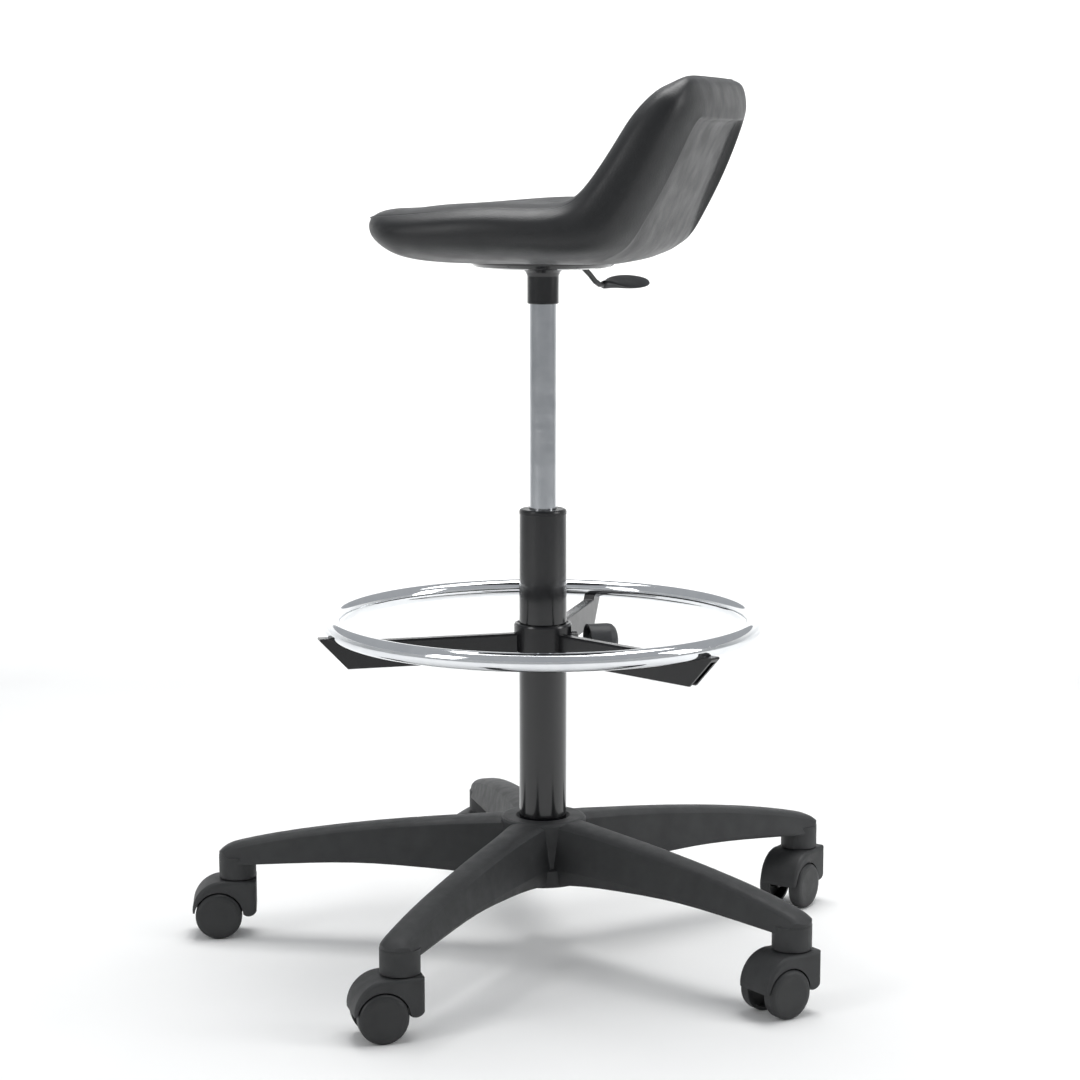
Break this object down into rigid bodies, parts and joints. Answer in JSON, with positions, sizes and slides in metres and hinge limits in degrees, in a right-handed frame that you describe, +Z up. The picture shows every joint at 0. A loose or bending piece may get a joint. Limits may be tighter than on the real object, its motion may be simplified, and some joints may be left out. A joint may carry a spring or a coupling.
{
  "type": "drafting chair",
  "caption": "Armless drafting chair: moulded scoop seat with a low back, gas height column, clamped foot ring and a star base on twin-wheel castors.",
  "frame": {"origin": "on the floor under the column's axis", "axes": "+Z up along the column; the seat's rear points 15.5 degrees from +X towards -Y, so the sitter faces away from it, towards -X"},
  "size_m": [0.6994, 0.7034, 0.917],
  "materials": {
    "seat_foam": "satin",
    "base_nylon": "matte",
    "wheel_nylon": "matte",
    "spider_nylon": "satin",
    "knob_plastic": "matte",
    "bush_plastic": "satin",
    "black_steel": "gloss",
    "cylinder_chrome": "polished",
    "ring_chrome": "polished",
    "bright_steel": "satin",
    "piston_aluminium": "satin",
    "cage_brass": "satin",
    "buffer_rubber": "matte",
    "board_ply": "matte"
  },
  "bodies": {
    "base": {"star_base": "base_nylon", "column_tube": "black_steel", "guide_bush": "bush_plastic", "bearing_race_lower": "bright_steel", "bearing_cage": "cage_brass", "bearing_balls": "bright_steel", "castor_stems": "bright_steel", "grip_rings": "bright_steel"},
    "rod": {"piston_rod": "bright_steel", "retaining_clip": "bright_steel", "piston": "piston_aluminium", "bearing_race_upper": "bright_steel", "rubber_buffer": "buffer_rubber"},
    "seat": {"seat_cushion": "seat_foam", "seat_board": "board_ply", "seat_t_nuts": "bright_steel", "seat_bolts": "bright_steel", "bolt_washers": "bright_steel", "mounting_plate": "black_steel", "socket_tube": "black_steel", "lever_ears": "black_steel", "lever_pin": "bright_steel", "gas_cylinder": "cylinder_chrome", "rod_seal": "bush_plastic", "valve_body": "piston_aluminium"},
    "lever": {"lever_rod": "black_steel", "lever_paddle": "knob_plastic"},
    "button": {"release_button": "bright_steel"},
    "liner": {"ring_liner": "bush_plastic"},
    "foot_rest": {"ring_spider": "spider_nylon", "foot_ring": "ring_chrome", "spoke_screws": "bright_steel", "clamp_nut": "cage_brass"},
    "pad": {"clamp_pad": "bush_plastic"},
    "knob": {"clamp_knob": "knob_plastic", "clamp_screw": "bright_steel"},
    "castor_1": {"castor_hood_1": "base_nylon", "castor_axle_1": "bright_steel"},
    "wheel_a_1": {"castor_wheel_a_1": "wheel_nylon"},
    "wheel_b_1": {"castor_wheel_b_1": "wheel_nylon"},
    "castor_2": {"castor_hood_2": "base_nylon", "castor_axle_2": "bright_steel"},
    "wheel_a_2": {"castor_wheel_a_2": "wheel_nylon"},
    "wheel_b_2": {"castor_wheel_b_2": "wheel_nylon"},
    "castor_3": {"castor_hood_3": "base_nylon", "castor_axle_3": "bright_steel"},
    "wheel_a_3": {"castor_wheel_a_3": "wheel_nylon"},
    "wheel_b_3": {"castor_wheel_b_3": "wheel_nylon"},
    "castor_4": {"castor_hood_4": "base_nylon", "castor_axle_4": "bright_steel"},
    "wheel_a_4": {"castor_wheel_a_4": "wheel_nylon"},
    "wheel_b_4": {"castor_wheel_b_4": "wheel_nylon"},
    "castor_5": {"castor_hood_5": "base_nylon", "castor_axle_5": "bright_steel"},
    "wheel_a_5": {"castor_wheel_a_5": "wheel_nylon"},
    "wheel_b_5": {"castor_wheel_b_5": "wheel_nylon"}
  },
  "joints": [
    {"name": "seat_swivel", "type": "hinge", "parent": "base", "child": "rod", "pos_m": [0, 0, 0.08], "axis": [0, 0, 1], "continuous": true},
    {"name": "seat_height", "type": "slide", "parent": "rod", "child": "seat", "axis": [0, 0, 1], "range_m": [-0.205, 0]},
    {"name": "lever_lift", "type": "hinge", "parent": "seat", "child": "lever", "pos_m": [0.02443, 0.02911, 0.731], "axis": [0.766, -0.6428, 0], "range_deg": [0, 7], "stiffness_Nm_per_rad": 1, "springref_deg": -6.88},
    {"name": "button_press", "type": "slide", "parent": "seat", "child": "button", "axis": [0, 0, -1], "range_m": [0, 0.005]},
    {"name": "ring_height", "type": "slide", "parent": "base", "child": "liner", "axis": [0, 0, 1], "range_m": [-0.15, 0.11]},
    {"name": "ring_turn", "type": "hinge", "parent": "liner", "child": "foot_rest", "pos_m": [0, 0, 0.326], "axis": [0, 0, 1], "continuous": true},
    {"name": "clamp_travel", "type": "slide", "parent": "foot_rest", "child": "pad", "axis": [0.9659, 0.2588, 0], "range_m": [0, 0.000972]},
    {"name": "clamp_turn", "type": "hinge", "parent": "pad", "child": "knob", "pos_m": [0.05796, 0.01553, 0.3275], "axis": [0.9659, 0.2588, 0], "range_deg": [0, 280]},
    {"name": "castor_swivel_1", "type": "hinge", "parent": "base", "child": "castor_1", "pos_m": [0.28954, 0.16448, 0.05], "axis": [0, 0, 1], "continuous": true},
    {"name": "wheel_a_spin_1", "type": "hinge", "parent": "castor_1", "child": "wheel_a_1", "pos_m": [0.27808, 0.14749, 0.025], "axis": [0.829, -0.5592, 0], "continuous": true},
    {"name": "wheel_b_spin_1", "type": "hinge", "parent": "castor_1", "child": "wheel_b_1", "pos_m": [0.27808, 0.14749, 0.025], "axis": [0.829, -0.5592, 0], "continuous": true},
    {"name": "castor_swivel_2", "type": "hinge", "parent": "base", "child": "castor_2", "pos_m": [-0.06696, 0.3262, 0.05], "axis": [0, 0, 1], "continuous": true},
    {"name": "wheel_a_spin_2", "type": "hinge", "parent": "castor_2", "child": "wheel_a_2", "pos_m": [-0.08622, 0.33321, 0.025], "axis": [-0.342, -0.9397, 0], "continuous": true},
    {"name": "wheel_b_spin_2", "type": "hinge", "parent": "castor_2", "child": "wheel_b_2", "pos_m": [-0.08622, 0.33321, 0.025], "axis": [-0.342, -0.9397, 0], "continuous": true},
    {"name": "castor_swivel_3", "type": "hinge", "parent": "base", "child": "castor_3", "pos_m": [-0.33093, 0.03712, 0.05], "axis": [0, 0, 1], "continuous": true},
    {"name": "wheel_a_spin_3", "type": "hinge", "parent": "castor_3", "child": "wheel_a_3", "pos_m": [-0.35135, 0.03533, 0.025], "axis": [0.0872, -0.9962, 0], "continuous": true},
    {"name": "wheel_b_spin_3", "type": "hinge", "parent": "castor_3", "child": "wheel_b_3", "pos_m": [-0.35135, 0.03533, 0.025], "axis": [0.0872, -0.9962, 0], "continuous": true},
    {"name": "castor_swivel_4", "type": "hinge", "parent": "base", "child": "castor_4", "pos_m": [-0.13756, -0.30326, 0.05], "axis": [0, 0, 1], "continuous": true},
    {"name": "wheel_a_spin_4", "type": "hinge", "parent": "castor_4", "child": "wheel_a_4", "pos_m": [-0.15737, -0.30856, 0.025], "axis": [0.2588, -0.9659, 0], "continuous": true},
    {"name": "wheel_b_spin_4", "type": "hinge", "parent": "castor_4", "child": "wheel_b_4", "pos_m": [-0.15737, -0.30856, 0.025], "axis": [0.2588, -0.9659, 0], "continuous": true},
    {"name": "castor_swivel_5", "type": "hinge", "parent": "base", "child": "castor_5", "pos_m": [0.24591, -0.22454, 0.05], "axis": [0, 0, 1], "continuous": true},
    {"name": "wheel_a_spin_5", "type": "hinge", "parent": "castor_5", "child": "wheel_a_5", "pos_m": [0.22911, -0.2363, 0.025], "axis": [0.5736, -0.8192, 0], "continuous": true},
    {"name": "wheel_b_spin_5", "type": "hinge", "parent": "castor_5", "child": "wheel_b_5", "pos_m": [0.22911, -0.2363, 0.025], "axis": [0.5736, -0.8192, 0], "continuous": true}
  ],
  "couplings": [
    {"joint": "button_press", "follows": "lever_lift", "m_per_rad": 0.0396},
    {"joint": "clamp_turn", "follows": "clamp_travel", "rad_per_m": 5026.5}
  ]
}
